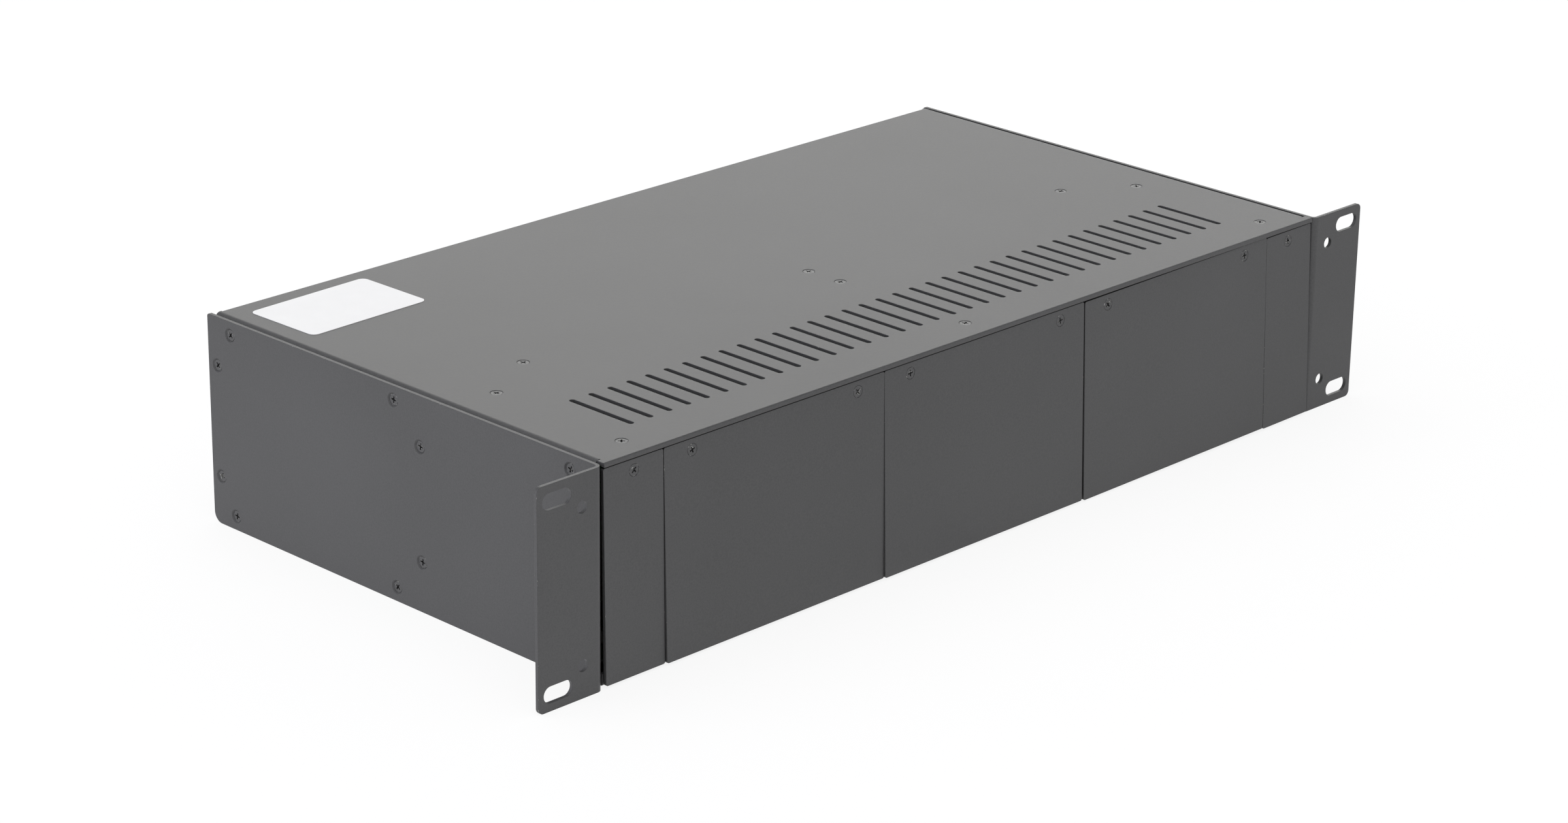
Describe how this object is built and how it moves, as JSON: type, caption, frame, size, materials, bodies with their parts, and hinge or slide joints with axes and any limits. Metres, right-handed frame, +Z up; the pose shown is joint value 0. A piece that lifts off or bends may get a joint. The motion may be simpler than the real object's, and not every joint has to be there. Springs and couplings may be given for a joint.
{
  "type": "media converter chassis",
  "caption": "Rack-mount chassis for media converter modules, its bays closed by screwed front blanks, with vent slots on top and a mains inlet at each end of its rear panel.",
  "frame": {"origin": "centre of the pattern of the four rack slots, on the rear face of the rack ears", "axes": "+X to the right as seen from the front, +Y from the front back into the rack, +Z up"},
  "size_m": [0.4846, 0.232, 0.0902],
  "materials": {
    "side_plate": "fine matt powder coat, dark grey",
    "shell": "fine matt powder coat, dark grey",
    "blank": "fine matt powder coat, dark grey",
    "rear_panel": "fine matt powder coat, dark grey",
    "plated_sheet": "bright zinc plate",
    "black_screw": "dark zinc plate",
    "plated_screw": "bright zinc plate",
    "label": "white satin film",
    "circuit_board": "green solder mask",
    "black_plastic": "moulded black plastic",
    "standoff_brass": "turned brass",
    "contact_brass": "tinned brass",
    "bracket_aluminium": "mill finish",
    "heatsink_black": "black anodised",
    "transformer_tape": "yellow tape over ferrite",
    "capacitor_sleeve": "shrink sleeve",
    "terminal_plastic": "moulded green plastic",
    "mains_wire": "insulation",
    "direct_wire": "insulation"
  },
  "bodies": {
    "root": {"backplane_board": "circuit_board", "base_tray": "shell", "blank_narrow_left": "blank", "blank_narrow_right": "blank", "blank_screws": "black_screw", "blank_wide_left": "blank", "blank_wide_middle": "blank", "blank_wide_right": "blank", "board_screws": "plated_screw", "board_standoffs": "standoff_brass", "bulkhead": "plated_sheet", "cover_screws": "black_screw", "dc_plug_01": "black_plastic", "dc_plug_02": "black_plastic", "dc_plug_03": "black_plastic", "dc_plug_04": "black_plastic", "dc_plug_05": "black_plastic", "dc_plug_06": "black_plastic", "dc_plug_07": "black_plastic", "dc_plug_08": "black_plastic", "dc_plug_09": "black_plastic", "dc_plug_10": "black_plastic", "dc_plug_11": "black_plastic", "dc_plug_12": "black_plastic", "dc_plug_13": "black_plastic", "dc_plug_14": "black_plastic", "direct_wires_left": "direct_wire", "direct_wires_right": "direct_wire", "earth_nuts": "plated_screw", "earth_stud": "plated_screw", "inlet_blades_left": "contact_brass", "inlet_blades_right": "contact_brass", "inlet_screws": "black_screw", "lower_guide_plate": "plated_sheet", "mains_inlet_left": "black_plastic", "mains_inlet_right": "black_plastic", "mains_wires_left": "mains_wire", "mains_wires_right": "mains_wire", "rating_label": "label", "rear_panel": "rear_panel", "side_plate_left": "side_plate", "side_plate_right": "side_plate", "side_screws_left": "black_screw", "side_screws_right": "black_screw", "supply_board_left": "circuit_board", "supply_board_right": "circuit_board", "supply_bracket_left": "bracket_aluminium", "supply_bracket_right": "bracket_aluminium", "supply_capacitor_left": "capacitor_sleeve", "supply_capacitor_right": "capacitor_sleeve", "supply_heatsink_left": "heatsink_black", "supply_heatsink_right": "heatsink_black", "supply_screws": "plated_screw", "supply_terminals_left": "terminal_plastic", "supply_terminals_right": "terminal_plastic", "supply_transformer_left": "transformer_tape", "supply_transformer_right": "transformer_tape", "top_cover": "shell", "tray_screws": "black_screw", "upper_guide_plate": "plated_sheet"}
  },
  "joints": []
}
